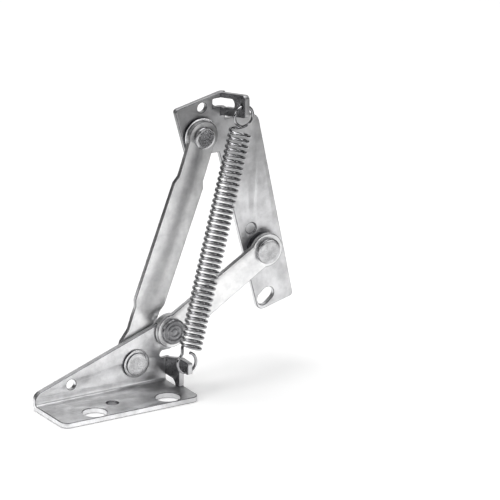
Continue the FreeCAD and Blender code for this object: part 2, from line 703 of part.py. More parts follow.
def make_spring():
    """Left-hand coil with a loop bent up at each end, and its upper loop apart."""
    low = FreeCAD.Vector(value(SPRING_FOOT_X), -size("spring_reach"), size("spring_foot_z"))
    high = FreeCAD.Vector(size("spring_top_x"), -size("spring_reach"), size("spring_top_z"))
    up = (high - low).normalize()
    away = FreeCAD.Vector(0, 1, 0)
    side = away.cross(up)
    radius = size("coil_radius")
    inset = radius + size("coil_to_loop")
    coil_length = (high - low).Length - 2 * inset
    pitch = coil_length / size("coil_turns")

    def loop(centre, outward):
        """Bend from the coil's end into a loop; outward is 1 at the top and -1 below."""
        along = up * outward
        across = side * outward
        begin = centre - along * inset + away * radius
        angle = math.radians(FIRST_LOOP_ANGLE)
        end_angle = math.radians(FIRST_LOOP_ANGLE + LOOP_SWEEP)
        middle_angle = (angle + end_angle) / 2

        def on_loop(turn):
            return centre + across * (radius * math.cos(turn)) + along * (radius * math.sin(turn))

        entry = on_loop(angle)
        heading = along * math.cos(angle) - across * math.sin(angle)
        rise = along * (pitch / (2 * math.pi * radius))
        leaving = (across + rise).normalize()
        bend = Part.BezierCurve()
        bend.setPoles([begin, begin + leaving * (0.55 * radius),
                       entry - heading * (0.45 * radius), entry])
        ring = Part.Arc(entry, on_loop(middle_angle), on_loop(end_angle))
        return swept_wire([bend.toShape(), ring.toShape()])

    helix = Part.makeHelix(pitch, coil_length, radius).mirror(FreeCAD.Vector(0, 0, 0), Y_AXIS)
    turn = FreeCAD.Matrix(away.x, -side.x, up.x, 0,
                          away.y, -side.y, up.y, 0,
                          away.z, -side.z, up.z, 0,
                          0, 0, 0, 1)
    coil_place = FreeCAD.Placement(turn)
    coil_place.Base = low + up * inset
    helix.Placement = coil_place
    coil = swept_wire(helix.Edges)
    shift = FreeCAD.Placement(
        FreeCAD.Vector(-size("foot_hole_mid"), size("foot_hole_reach"), size("foot_drop")),
        FreeCAD.Rotation())
    results = []
    for label, shape in (("tension_spring", coil.fuse(loop(low, -1))), ("spring_top_loop", loop(high, 1))):
        feature = doc.addObject("Part::Feature", label)
        feature.Label = label
        feature.Shape = shape
        feature.Placement = shift
        results.append(feature)
    return results


def main():
    """Build every piece, check it and write its file."""
    pieces = [make_foot(), make_arm(), make_link(), make_plate()]
    pieces += make_pivots()
    pieces += make_spring()
    doc.recompute()
    for item in doc.Objects:
        if "Invalid" in item.State or "Error" in item.State:
            raise RuntimeError("failed: " + item.Label)
    os.makedirs("parts", exist_ok=True)
    for piece in pieces:
        shape = piece.Shape
        if shape.isNull() or not shape.isValid() or len(shape.Solids) != 1:
            raise RuntimeError("bad shape: %s, %d solids" % (piece.Label, len(shape.Solids)))
        shape.exportStep(os.path.join("parts", piece.Label + ".step"))
        box = shape.BoundBox
        print("%-24s %9.1f mm3  x %.1f %.1f  y %.1f %.1f  z %.1f %.1f" % (
            piece.Label, shape.Volume, box.XMin, box.XMax, box.YMin, box.YMax, box.ZMin, box.ZMax))


main()
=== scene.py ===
"""Looks of a sprung flap hinge in bright plated steel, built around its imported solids.

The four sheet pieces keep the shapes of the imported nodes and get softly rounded
edges. The rivets, the rings and the spring are modelled anew, so that the wire,
the pressed heads and the closed tails show as on the real hinge. All lengths
are in metres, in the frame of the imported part.
"""

from dataclasses import dataclass, field
from enum import Enum, IntEnum
import json
import logging
import math

import bpy
from mathutils import Matrix, Vector

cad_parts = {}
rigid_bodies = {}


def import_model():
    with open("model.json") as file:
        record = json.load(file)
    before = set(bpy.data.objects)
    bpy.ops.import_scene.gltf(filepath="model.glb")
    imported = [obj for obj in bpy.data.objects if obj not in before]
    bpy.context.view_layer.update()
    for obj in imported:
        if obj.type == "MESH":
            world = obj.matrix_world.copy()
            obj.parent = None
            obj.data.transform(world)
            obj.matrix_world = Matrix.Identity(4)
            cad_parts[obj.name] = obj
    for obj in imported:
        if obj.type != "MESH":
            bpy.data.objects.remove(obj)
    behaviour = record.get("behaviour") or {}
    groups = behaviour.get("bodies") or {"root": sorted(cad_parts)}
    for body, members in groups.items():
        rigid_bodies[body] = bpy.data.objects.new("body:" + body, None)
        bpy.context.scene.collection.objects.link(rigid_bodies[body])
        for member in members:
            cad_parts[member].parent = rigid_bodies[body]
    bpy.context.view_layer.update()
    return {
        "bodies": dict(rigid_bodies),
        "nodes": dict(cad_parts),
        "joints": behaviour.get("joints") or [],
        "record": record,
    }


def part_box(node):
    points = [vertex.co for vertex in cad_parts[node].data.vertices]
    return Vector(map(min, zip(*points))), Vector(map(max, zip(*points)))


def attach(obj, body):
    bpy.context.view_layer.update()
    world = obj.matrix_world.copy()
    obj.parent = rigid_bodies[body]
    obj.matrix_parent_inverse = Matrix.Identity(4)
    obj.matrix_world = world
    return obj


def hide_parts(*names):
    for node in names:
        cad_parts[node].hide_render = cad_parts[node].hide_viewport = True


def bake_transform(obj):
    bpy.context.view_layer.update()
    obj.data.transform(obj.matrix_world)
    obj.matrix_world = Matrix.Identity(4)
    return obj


LOG = logging.getLogger("spring_hinge")
MM = 0.001
WEB_FRONT = 18.6 * MM
BLUE_CAST = 0.01
Corner = tuple[float, float, float]
Profile = list[tuple[float, float]]


def mm(x: float, y: float, z: float) -> Corner:
    """Place in the row frame, given in millimetres."""
    return x * MM, y * MM, z * MM


def pivot_of(node: str) -> tuple[float, float]:
    """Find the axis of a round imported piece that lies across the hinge.

    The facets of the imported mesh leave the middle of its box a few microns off,
    so that middle is taken to a hundredth of a millimetre.

    Args:
        node: name of the round piece.

    Returns:
        The axis' place along x and along z.
    """
    step = 0.01 * MM
    low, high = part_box(node)
    middle = (low + high) / 2.0
    return round(middle.x / step) * step, round(middle.z / step) * step


class Slot(Enum):
    """Material slots of the record; the new pieces here make their own finishes and do not use these.
    """

    SHEET = "plated_sheet"
    RIVET = "plated_rivet"
    WIRE = "spring_wire"


class Grain(Enum):
    """Direction in which the rolled sheet shows its faint streaks."""

    ALONG_X = (0.12, 1.0, 1.0)
    ALONG_Z = (1.0, 1.0, 0.12)
    NONE = (1.0, 1.0, 1.0)


class Layer(IntEnum):
    """Order of the finishes on one piece; the edge and the last finish carry painted shade."""

    MAIN = 0
    EDGE = 1
    DARK = 2


class Hand:
    """Small moves of the modeller's hand that every piece needs."""

    @staticmethod
    def clear() -> None:
        """Leave edit mode and deselect all."""
        if bpy.context.object is not None and bpy.context.object.mode != "OBJECT":
            bpy.ops.object.mode_set(mode="OBJECT")
        bpy.ops.object.select_all(action="DESELECT")

    @staticmethod
    def hold(piece: bpy.types.Object) -> None:
        """Make one piece the only selected and active one."""
        Hand.clear()
        piece.select_set(True)
        bpy.context.view_layer.objects.active = piece

    @staticmethod
    def settle(piece: bpy.types.Object) -> None:
        """Bake the piece's place into its mesh, so that its object sits at the origin."""
        Hand.hold(piece)
        bpy.ops.object.transform_apply(location=True, rotation=True, scale=True)

    @staticmethod
    def apply_all(piece: bpy.types.Object) -> None:
        """Apply the modifiers of a piece in their order."""
        Hand.hold(piece)
        for modifier in list(piece.modifiers):
            bpy.ops.object.modifier_apply(modifier=modifier.name)

    @staticmethod
    def soften(piece: bpy.types.Object, width: float, clamp: bool) -> None:
        """Round the sharp edges of a piece in two steps, in its edge finish.

        Args:
            piece: the piece with its sharp edges.
            width: how far the rounding reaches in from an edge.
            clamp: whether short edges may hold the rounding back.
        """
        rounding = piece.modifiers.new("soft edges", "BEVEL")
        rounding.width = width
        rounding.segments = 2
        rounding.limit_method = "ANGLE"
        rounding.angle_limit = math.radians(35.0)
        rounding.use_clamp_overlap = clamp
        # The rounded faces take the edge finish, painted dark outlines and shade.
        rounding.material = Layer.EDGE
        Hand.apply_all(piece)

    @staticmethod
    def join(pieces: list[bpy.types.Object], name: str) -> bpy.types.Object:
        """Join several meshes into one named piece.

        Args:
            pieces: meshes to join; the first one keeps its place as the target.
            name: name of the joined piece.

        Returns:
            The joined object.
        """
        Hand.clear()
        for piece in pieces:
            piece.select_set(True)
        bpy.context.view_layer.objects.active = pieces[0]
        bpy.ops.object.join()
        pieces[0].name = name
        return pieces[0]

    @staticmethod
    def outward(piece: bpy.types.Object) -> None:
        """Turn all faces of a closed mesh outwards."""
        Hand.hold(piece)
        bpy.ops.object.mode_set(mode="EDIT")
        bpy.ops.mesh.select_all(action="SELECT")
        bpy.ops.mesh.normals_make_consistent(inside=False)
        bpy.ops.object.mode_set(mode="OBJECT")


@dataclass
class Paint:
    """New material with the few moves on its nodes that the finishes need."""

    name: str

    def __post_init__(self) -> None:
        """Start the material with its shader."""
        self.material = bpy.data.materials.new(self.name)
        self.material.use_nodes = True
        self.nodes = self.material.node_tree.nodes
        self.shader = self.nodes["Principled BSDF"]

    def link(self, source: bpy.types.NodeSocket, target: bpy.types.NodeSocket) -> None:
        """Join two sockets."""
        self.material.node_tree.links.new(source, target)

    def plain(self, name: str, value: float | Corner) -> None:
        """Set one input of the shader to a uniform value or colour."""
        colour = isinstance(value, tuple)
        self.shader.inputs[name].default_value = (*value, 1.0) if colour else value

    def noise(self, place: bpy.types.NodeSocket, scale: float, detail: float,
              roughness: float = 0.5) -> bpy.types.NodeSocket:
        """Lay a noise over a place.

        Args:
            place: coordinates that the noise follows.
            scale: how many lumps it has in a metre.
            detail: how many finer layers lie on the first one.
            roughness: how strong the finer layers are.

        Returns:
            The noise's value.
        """
        node = self.nodes.new("ShaderNodeTexNoise")
        node.inputs["Scale"].default_value = scale
        node.inputs["Detail"].default_value = detail
        node.inputs["Roughness"].default_value = roughness
        self.link(place, node.inputs["Vector"])
        return node.outputs["Fac"]

    def spread(self, value: bpy.types.NodeSocket, source: tuple[float, float],
               target: tuple[float, float] = (0.0, 1.0), smooth: bool = False) -> bpy.types.NodeSocket:
        """Map one span of a value onto another, held at both ends.

        Args:
            value: the value to map.
            source: span that it is taken from.
            target: span that it is mapped to.
            smooth: whether it starts and ends softly.

        Returns:
            The mapped value.
        """
        node = self.nodes.new("ShaderNodeMapRange")
        node.interpolation_type = "SMOOTHSTEP" if smooth else "LINEAR"
        node.inputs["From Min"].default_value, node.inputs["From Max"].default_value = source
        node.inputs["To Min"].default_value, node.inputs["To Max"].default_value = target
        self.link(value, node.inputs["Value"])
        return node.outputs["Result"]

    def larger(self, first: bpy.types.NodeSocket, second: bpy.types.NodeSocket) -> bpy.types.NodeSocket:
        """Take the larger of two values."""
        node = self.nodes.new("ShaderNodeMath")
        node.operation = "MAXIMUM"
        self.link(first, node.inputs[0])
        self.link(second, node.inputs[1])
        return node.outputs["Value"]


@dataclass(frozen=True)
class PaintedShadeFade:
    """Painted shade: slow change of the plating's brightness from one place of a piece to another,
    darker where shade and dark reflections fall.
    """

    start: Corner
    end: Corner
    factor: float

    def lay(self, paint: Paint, colour: bpy.types.NodeSocket,
            place: bpy.types.NodeSocket) -> bpy.types.NodeSocket:
        """Lay the change over a colour, from full at the start to the factor at the end.

        Args:
            paint: the material that gets the nodes.
            colour: the plating's colour so far.
            place: Object coordinates.

        Returns:
            The changed colour.
        """
        run = Vector(self.end) - Vector(self.start)
        per_length = run / run.length_squared
        begin = Vector(self.start).dot(per_length)
        along = paint.nodes.new("ShaderNodeVectorMath")
        along.operation = "DOT_PRODUCT"
        along.inputs[1].default_value = per_length
        paint.link(place, along.inputs[0])
        level = paint.spread(along.outputs["Value"], (begin, begin + 1.0), (1.0, self.factor),
                             smooth=True)
        scaled = paint.nodes.new("ShaderNodeVectorMath")
        scaled.operation = "SCALE"
        paint.link(colour, scaled.inputs[0])
        paint.link(level, scaled.inputs["Scale"])
        return scaled.outputs["Vector"]


@dataclass(frozen=True)
class PlatedSteel:
    """Bright plated steel with faint streaks, small stains, a fine bump and any fades of painted shade.
    """

    name: str
    shade: float = 0.66
    roughness: float = 0.24
    roughness_spread: float = 0.12
    least_roughness: float = 0.03
    streak_scale: float = 900.0
    streak_detail: float = 6.0
    streak_span: tuple[float, float] = (0.35, 0.70)
    streak_height: float = 0.04 * MM
    bump_strength: float = 0.35
    stain_scale: float = 160.0
    stain_detail: float = 8.0
    stain_roughness: float = 0.65
    stain_span: tuple[float, float] = (0.30, 0.62)
    stain_strength: float = 0.08
    stain_dulling: float = 3.0
    metal_index: float = 2.4
    grain: Grain = Grain.ALONG_X
    painted_shade_fades: tuple[PaintedShadeFade, ...] = ()

    def stained(self, paint: Paint, place: bpy.types.NodeSocket) -> bpy.types.NodeSocket:
        """Mix the plating's dull and bright shades by the stains.

        Args:
            paint: the material that gets the nodes.
            place: Object coordinates.

        Returns:
            The stained colour.
        """
        tint = (self.shade, self.shade, self.shade + BLUE_CAST)
        dull = tuple(channel * (1.0 - self.stain_dulling * self.stain_strength) for channel in tint)
        bright = tuple(min(1.0, channel * (1.0 + self.stain_strength)) for channel in tint)
        stains = paint.noise(place, self.stain_scale, self.stain_detail, self.stain_roughness)
        shades = paint.nodes.new("ShaderNodeMix")
        shades.data_type = "RGBA"
        factor, dull_side, bright_side = (shades.inputs[number] for number in (0, 6, 7))
        dull_side.default_value = (*dull, 1.0)
        bright_side.default_value = (*bright, 1.0)
        paint.link(paint.spread(stains, self.stain_span), factor)
        return shades.outputs[2]

    def make(self) -> bpy.types.Material:
        """Build the node material.

        Returns:
            The finished material.
        """
        paint = Paint(self.name)
        paint.plain("Metallic", 1.0)
        paint.plain("IOR", self.metal_index)

        coordinates = paint.nodes.new("ShaderNodeTexCoord")
        place = coordinates.outputs["Object"]
        mapping = paint.nodes.new("ShaderNodeMapping")
        mapping.inputs["Scale"].default_value = self.grain.value
        paint.link(place, mapping.inputs["Vector"])
        streaks = paint.noise(mapping.outputs["Vector"], self.streak_scale, self.streak_detail)

        colour = self.stained(paint, place)
        # Painted shade: each fade scales the colour down towards its end.
        for fade in self.painted_shade_fades:
            colour = fade.lay(paint, colour, place)
        paint.link(colour, paint.shader.inputs["Base Color"])

        smooth = max(self.least_roughness, self.roughness - self.roughness_spread / 2)
        rough = self.roughness + self.roughness_spread / 2
        gloss = paint.spread(streaks, self.streak_span, (smooth, rough))
        paint.link(gloss, paint.shader.inputs["Roughness"])

        bump = paint.nodes.new("ShaderNodeBump")
        bump.inputs["Strength"].default_value = self.bump_strength
        bump.inputs["Distance"].default_value = self.streak_height
        paint.link(streaks, bump.inputs["Height"])
        paint.link(bump.outputs["Normal"], paint.shader.inputs["Normal"])
        return paint.material


@dataclass(frozen=True)
class PaintedShadePatch:
    """Region of a sheet piece whose faces of one direction carry painted shade in a darker finish."""

    low: Corner
    high: Corner
    facing: Corner = (0.0, 0.0, 0.0)
    likeness: float = 0.75

    def holds(self, centre: Vector, normal: Vector) -> bool:
        """Tell whether a face belongs to the patch.

        Args:
            centre: middle of the face.
            normal: its outward direction.

        Returns:
            True inside the region, where the face looks the patch's way or the
            patch has no way to look.
        """
        inside = all(low <= place <= high for low, place, high in zip(self.low, centre, self.high))
        facing = Vector(self.facing)
        turned = facing.length == 0.0 or normal.dot(facing) > self.likeness
        return inside and turned


@dataclass
class SheetPiece:
    """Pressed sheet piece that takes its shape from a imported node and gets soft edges."""

    node: str
    body: str
    finish: PlatedSteel
    edge_finish: PlatedSteel
    painted_shade_finish: PlatedSteel
    patches: list[PaintedShadePatch] = field(default_factory=list)
    edge_width: float = 0.26 * MM
    weld: float = 0.002 * MM
    flat_angle: float = 0.6
    smooth_angle: float = 28.0

    def build(self, frame: dict) -> bpy.types.Object:
        """Copy the node's mesh, merge it and round its edges.

        Args:
            frame: the loaded frame with its nodes.

        Returns:
            The finished piece, riding on its body.
        """
        Hand.hold(frame["nodes"][self.node])
        bpy.ops.object.duplicate()
        piece = bpy.context.object
        piece.parent = None
        piece.matrix_world = Matrix.Identity(4)
        piece.name = self.node + "_pressed"
        bpy.ops.object.mode_set(mode="EDIT")
        bpy.ops.mesh.select_all(action="SELECT")
        bpy.ops.mesh.remove_doubles(threshold=self.weld)
        bpy.ops.mesh.dissolve_limited(angle_limit=math.radians(self.flat_angle))
        bpy.ops.object.mode_set(mode="OBJECT")
        self.dress(piece)
        Hand.soften(piece, self.edge_width, clamp=False)
        bpy.ops.object.shade_smooth_by_angle(angle=math.radians(self.smooth_angle))
        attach(piece, self.body)
        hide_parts(self.node)
        return piece

    def dress(self, piece: bpy.types.Object) -> None:
        """Give the piece its plating, its painted dark edge lines and its patches of painted shade."""
        piece.data.materials.clear()
        for finish in (self.finish, self.edge_finish, self.painted_shade_finish):
            piece.data.materials.append(finish.make())
        # Faces in a patch take the painted shade finish.
        for face in piece.data.polygons:
            dark = any(patch.holds(face.center, face.normal) for patch in self.patches)
            face.material_index = Layer.DARK if dark else Layer.MAIN


class SheetSet:
    """The four pressed sheet pieces, each with its plating."""

    # Painted dark reflection: the rounded sheet edges are darkened into dark outlines.
    painted_edge_shade = PlatedSteel("painted_edge_shade", shade=0.18, roughness=0.35, grain=Grain.NONE)
    # Painted shade for the patches: lug faces and hole walls that lie in shade.
    painted_patch_shade = PlatedSteel("painted_patch_shade_plating", shade=0.28, roughness=0.30, grain=Grain.NONE)

    def foot(self) -> SheetPiece:
        """Foot bracket: painted shade darkens its web towards the lug, and darkens the lug's outer face
        and the small screw hole's wall.
        """
        web_end = PaintedShadeFade(mm(14.0, 18.6, 20.0), mm(29.0, 18.6, 12.0), factor=0.72)
        plating = PlatedSteel("foot_plating", shade=0.90, roughness=0.36, painted_shade_fades=(web_end,))
        # Painted shade on the lug's outer face and on the wall of the small screw hole.
        lower_lug = PaintedShadePatch(mm(27.0, -1.0, 2.0), mm(28.0, 18.6, 16.0), facing=(-1.0, 0.0, 0.0))
        screw_wall = PaintedShadePatch(mm(-8.9, 2.7, 0.5), mm(-2.7, 8.9, 2.2))
        return self.piece("foot_bracket", "foot", plating, [lower_lug, screw_wall])

    def arm(self) -> SheetPiece:
        """Long arm: painted shade darkens it towards its right edge and towards its head."""
        right = PaintedShadeFade(mm(25.0, 18.0, 66.0), mm(40.0, 18.0, 61.0), factor=0.62)
        top = PaintedShadeFade(mm(30.0, 18.0, 60.0), mm(44.0, 18.0, 100.0), factor=0.72)
        plating = PlatedSteel("arm_plating", shade=0.97, roughness=0.34, grain=Grain.ALONG_Z,
                              painted_shade_fades=(right, top))
        return self.piece("long_arm", "arm", plating)

    def link(self) -> SheetPiece:
        """Short link in the brightest plating."""
        return self.piece("short_link", "link", PlatedSteel("link_plating", shade=0.97, roughness=0.36))

    def wing(self) -> SheetPiece:
        """Upper plate: painted shade darkens it towards its top and on the lug's outer face."""
        top = PaintedShadeFade(mm(60.0, 21.0, 60.0), mm(50.0, 21.0, 125.0), factor=0.60)
        plating = PlatedSteel("wing_plating", shade=0.80, roughness=0.46, grain=Grain.ALONG_Z,
                              painted_shade_fades=(top,))
        # Painted shade on the lug's outer face.
        lug = PaintedShadePatch(mm(54.8, 0.0, 110.0), mm(55.6, 16.0, 129.0), facing=(-1.0, 0.0, 0.0))
        return self.piece("upper_plate", "plate", plating, [lug])

    def piece(self, node: str, body: str, plating: PlatedSteel,
              patches: list[PaintedShadePatch] | None = None) -> SheetPiece:
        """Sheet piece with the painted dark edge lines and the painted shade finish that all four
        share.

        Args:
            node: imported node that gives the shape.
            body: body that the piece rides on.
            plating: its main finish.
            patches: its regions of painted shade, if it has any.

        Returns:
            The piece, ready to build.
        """
        return SheetPiece(node, body, plating, self.painted_edge_shade, self.painted_patch_shade, patches or [])

    def build(self, frame: dict) -> list[bpy.types.Object]:
        """Build the four sheet pieces from the nodes of the loaded frame."""
        return [sheet.build(frame) for sheet in (self.foot(), self.arm(), self.link(), self.wing())]


@dataclass
class Turning:
    """Round piece about a pivot, spun from a section of radius and row depth."""

    node: str
    body: str
    pivot: tuple[float, float]
    section: Profile
    finish: PlatedSteel
    side_finish: PlatedSteel
    soft: float = 0.22 * MM
    weld: float = 0.001 * MM
    steps: int = 72
    smooth_angle: float = 30.0
    face_share: float = 0.6

    def spin(self) -> bpy.types.Object:
        """Extrude a point along the section and spin it about the pivot.

        Returns:
            The closed mesh at its place.
        """
        Hand.clear()
        bpy.ops.mesh.primitive_plane_add(size=MM, location=(0.0, 0.0, 0.0))
        piece = bpy.context.object
        piece.name = self.node + "_turned"
        bpy.ops.object.mode_set(mode="EDIT")
        bpy.ops.mesh.select_all(action="SELECT")
        bpy.ops.mesh.merge(type="CENTER")
        bpy.ops.transform.translate(value=(*self.section[0], 0.0))
        for previous, following in zip(self.section, self.section[1:]):
            step = (following[0] - previous[0], following[1] - previous[1], 0.0)
            bpy.ops.mesh.extrude_region_move(TRANSFORM_OT_translate={"value": step})
        bpy.ops.mesh.select_all(action="SELECT")
        bpy.ops.mesh.spin(steps=self.steps, angle=math.tau,
                          center=(0.0, 0.0, 0.0), axis=(0.0, 1.0, 0.0))
        bpy.ops.mesh.select_all(action="SELECT")
        bpy.ops.mesh.remove_doubles(threshold=self.weld)
        bpy.ops.mesh.normals_make_consistent(inside=False)
        across, up = self.pivot
        bpy.ops.transform.translate(value=(across, 0.0, up))
        bpy.ops.object.mode_set(mode="OBJECT")
        return piece

    def build(self) -> bpy.types.Object:
        """Spin the piece, soften it and give it its two finishes.

        Returns:
            The finished piece, riding on its body.
        """
        piece = self.spin()
        Hand.soften(piece, self.soft, clamp=True)
        bpy.ops.object.shade_smooth_by_angle(angle=math.radians(self.smooth_angle))
        Hand.settle(piece)
        piece.data.materials.append(self.finish.make())
        piece.data.materials.append(self.side_finish.make())
        # Walls and rims take the side finish, painted shade.
        for face in piece.data.polygons:
            if abs(face.normal.y) < self.face_share:
                face.material_index = Layer.EDGE
        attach(piece, self.body)
        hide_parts(self.node)
        return piece


@dataclass(frozen=True)
class Rivet:
    """Rivet with a flat pressed head and a closed tail.

    Depths count from the web's front towards the viewer. The crown of the head
    and of the tail is given in steps: how far in from the rim, and how far down
    from the highest ring. The rim's drops are shares of the head's thickness.
    """

    seat: float
    tail_seat: float
    shank: float
    head_radius: float
    head: float
    tail_radius: float = 4.2 * MM
    tail: float = 1.2 * MM
    head_dish: float = 0.10 * MM
    head_crown: Profile = field(default_factory=lambda: [(1.9, 0.06), (1.3, 0.0), (0.7, 0.06)])
    rim_inset: float = 0.22 * MM
    rim_drop: float = 0.16
    side_drop: float = 0.38
    tail_dish: float = 0.25 * MM
    tail_crown: Profile = field(
        default_factory=lambda: [(0.0, 0.6), (0.35, 0.2), (1.0, 0.0), (1.8, 0.18)])
    groove_places: tuple[float, float] = (0.30, 0.62)
    groove_path: Profile = field(
        default_factory=lambda: [(-0.38, 0.0), (-0.16, 0.3), (0.16, 0.3), (0.38, 0.0)])

    def crown(self) -> Profile:
        """Rings pressed into the head, as points of radius and depth."""
        top = self.seat + self.head
        return [(self.head_radius - inset * MM, top - drop * MM) for inset, drop in self.head_crown]

    def grooves(self) -> Profile:
        """Two turned grooves in place of the pressed rings, up to the crown's outer step."""
        face = self.seat + self.head - self.head_dish
        path = [(share * self.head_radius + step * MM, face - depth * MM)
                for share in self.groove_places for step, depth in self.groove_path]
        return [*path, self.crown()[-1]]

    def profile(self, grooved: bool = False) -> Profile:
        """Section of the rivet from the head's middle to the tail's middle.

        Args:
            grooved: whether the head carries turned grooves.

        Returns:
            Points of radius and depth.
        """
        top = self.seat + self.head
        end = self.tail_seat - self.tail
        return [
            (0.0, top - self.head_dish),
            *(self.grooves() if grooved else self.crown()),
            (self.head_radius - self.rim_inset, top - self.rim_drop * self.head),
            (self.head_radius, top - self.side_drop * self.head),
            (self.head_radius, self.seat),
            (self.shank, self.seat),
            (self.shank, self.tail_seat),
            (self.tail_radius, self.tail_seat),
            *((self.tail_radius - inset * MM, end + rise * MM) for inset, rise in self.tail_crown),
            (0.0, end + self.tail_dish),
        ]


@dataclass(frozen=True)
class Ring:
    """Flat ring, washer or spacer; its back lies at a depth from the web's front."""

    back: float
    thick: float
    radius: float
    bore: float

    def profile(self) -> Profile:
        """Section of the ring as a closed path of radius and depth."""
        front = self.back + self.thick
        return [(self.bore, self.back), (self.bore, front), (self.radius, front),
                (self.radius, self.back), (self.bore, self.back)]


@dataclass
class PivotSet:
    """Rivets, rings, washers and spacers of the four pivots."""

    sheet: float = 2.4 * MM
    strip: float = 2.0 * MM
    washer: float = 0.5 * MM
    arm_spacer: float = 1.5 * MM
    link_spacer: float = 3.0 * MM
    head: float = 2.0 * MM
    foot_head: float = 0.9 * MM
    foot_ring: float = 0.9 * MM
    main_shank: float = 2.5 * MM
    shank: float = 1.5 * MM
    bore_fit: float = 0.05 * MM
    main_head_radius: float = 5.0 * MM
    ring_radius: float = 6.1 * MM
    link_head_radius: float = 5.5 * MM
    arm_head_radius: float = 4.8 * MM
    washer_radius: float = 5.2 * MM
    arm_spacer_radius: float = 7.8 * MM
    link_spacer_radius: float = 7.0 * MM
    wide_washer_radius: float = 7.3 * MM
    pressed: PlatedSteel = PlatedSteel(
        "rivet_plating", shade=0.62, roughness=0.25, stain_scale=260.0, stain_strength=0.12,
        streak_scale=1400.0, grain=Grain.NONE)
    stamped: PlatedSteel = PlatedSteel(
        "ring_plating", shade=0.84, roughness=0.20, stain_scale=200.0, grain=Grain.NONE)
    flush: PlatedSteel = PlatedSteel(
        "flush_rivet", shade=0.78, roughness=0.30, stain_scale=260.0, streak_scale=1400.0,
        grain=Grain.NONE)
    # Painted shadow and painted reflection: the small rivet beside the spring is darkened for the
    # spring's shadow and dark mirror image.
    dull: PlatedSteel = PlatedSteel(
        "spring_shade_rivet", shade=0.34, roughness=0.32, stain_scale=260.0, stain_strength=0.15,
        streak_scale=1400.0, grain=Grain.NONE)
    # Painted shade: rivet rims and the walls of the turned pieces are darkened for the shade around
    # heads and between stacked parts.
    rim: PlatedSteel = PlatedSteel("painted_shade_rivet_rim", shade=0.32, roughness=0.28, grain=Grain.NONE)
    side: PlatedSteel = PlatedSteel("painted_shade_turned_side", shade=0.07, roughness=0.30, grain=Grain.NONE)

    def turned(self, node: str, body: str, profile: Profile, finish: PlatedSteel,
               side: PlatedSteel) -> Turning:
        """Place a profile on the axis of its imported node.

        Args:
            node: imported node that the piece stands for.
            body: body that it rides on.
            profile: points of radius and depth from the web's front.
            finish: finish of its flat faces.
            side: finish of its walls.

        Returns:
            The round piece, ready to build.
        """
        section = [(radius, WEB_FRONT - depth) for radius, depth in profile]
        return Turning(node, body, pivot_of(node), section, finish, side)

    def ring(self, node: str, body: str, ring: Ring) -> Turning:
        """Ring, washer or spacer in its bright finish, with painted shade on its walls."""
        return self.turned(node, body, ring.profile(), self.stamped, self.side)

    def foot_and_arm(self) -> list[Turning]:
        """Main pivot: rivet, ring and washers that hold the arm behind the web."""
        bore = self.main_shank + self.bore_fit
        web_back = -self.sheet
        tail_seat = web_back - self.washer - self.strip - self.washer
        rivet = Rivet(self.foot_ring, tail_seat, self.main_shank, self.main_head_radius, self.foot_head)
        return [
            self.turned("foot_arm_rivet", "foot", rivet.profile(), self.flush, self.side),
            self.ring("foot_arm_ring", "foot", Ring(0.0, self.foot_ring, self.ring_radius, bore)),
            self.ring("foot_arm_washer", "foot",
                      Ring(web_back - self.washer, self.washer, self.washer_radius, bore)),
            self.ring("foot_arm_tail_washer", "foot",
                      Ring(tail_seat, self.washer, self.washer_radius, bore)),
        ]

    def foot_and_link(self) -> list[Turning]:
        """Small pivot: grooved rivet and washer that hold the link before the web."""
        bore = self.shank + self.bore_fit
        link_front = self.washer + self.strip
        rivet = Rivet(link_front, -self.sheet, self.shank, self.link_head_radius, self.head)
        return [
            self.turned("foot_link_rivet", "foot", rivet.profile(grooved=True), self.dull, self.rim),
            self.ring("foot_link_washer", "foot", Ring(0.0, self.washer, self.washer_radius, bore)),
        ]

    def plate_and(self, name: str, spacer: float, head_radius: float, spacer_radius: float,
                  tail_washer_radius: float) -> list[Turning]:
        """Pivot of a strip before the upper plate: rivet, spacer and tail washer.

        Args:
            name: body of the strip, with which the names of the pieces begin.
            spacer: thickness of the spacer between plate and strip.
            head_radius: radius of the rivet's head.
            spacer_radius: radius of the spacer.
            tail_washer_radius: radius of the washer under the tail.

        Returns:
            The three round pieces.
        """
        bore = self.shank + self.bore_fit
        plate_front = self.washer - self.link_spacer
        tail_seat = plate_front - self.sheet - self.washer
        strip_front = plate_front + spacer + self.strip
        rivet = Rivet(strip_front, tail_seat, self.shank, head_radius, self.head)
        return [
            self.turned(name + "_plate_rivet", name, rivet.profile(), self.pressed, self.rim),
            self.ring(name + "_plate_spacer", name, Ring(plate_front, spacer, spacer_radius, bore)),
            self.ring(name + "_plate_tail_washer", name,
                      Ring(tail_seat, self.washer, tail_washer_radius, bore)),
        ]

    def build(self) -> list[bpy.types.Object]:
        """Build every turned piece."""
        turnings = [
            *self.foot_and_arm(),
            *self.foot_and_link(),
            *self.plate_and("arm", self.arm_spacer, self.arm_head_radius, self.arm_spacer_radius,
                            self.washer_radius),
            *self.plate_and("link", self.link_spacer, self.link_head_radius, self.link_spacer_radius,
                            self.wide_washer_radius),
        ]
        return [turning.build() for turning in turnings]


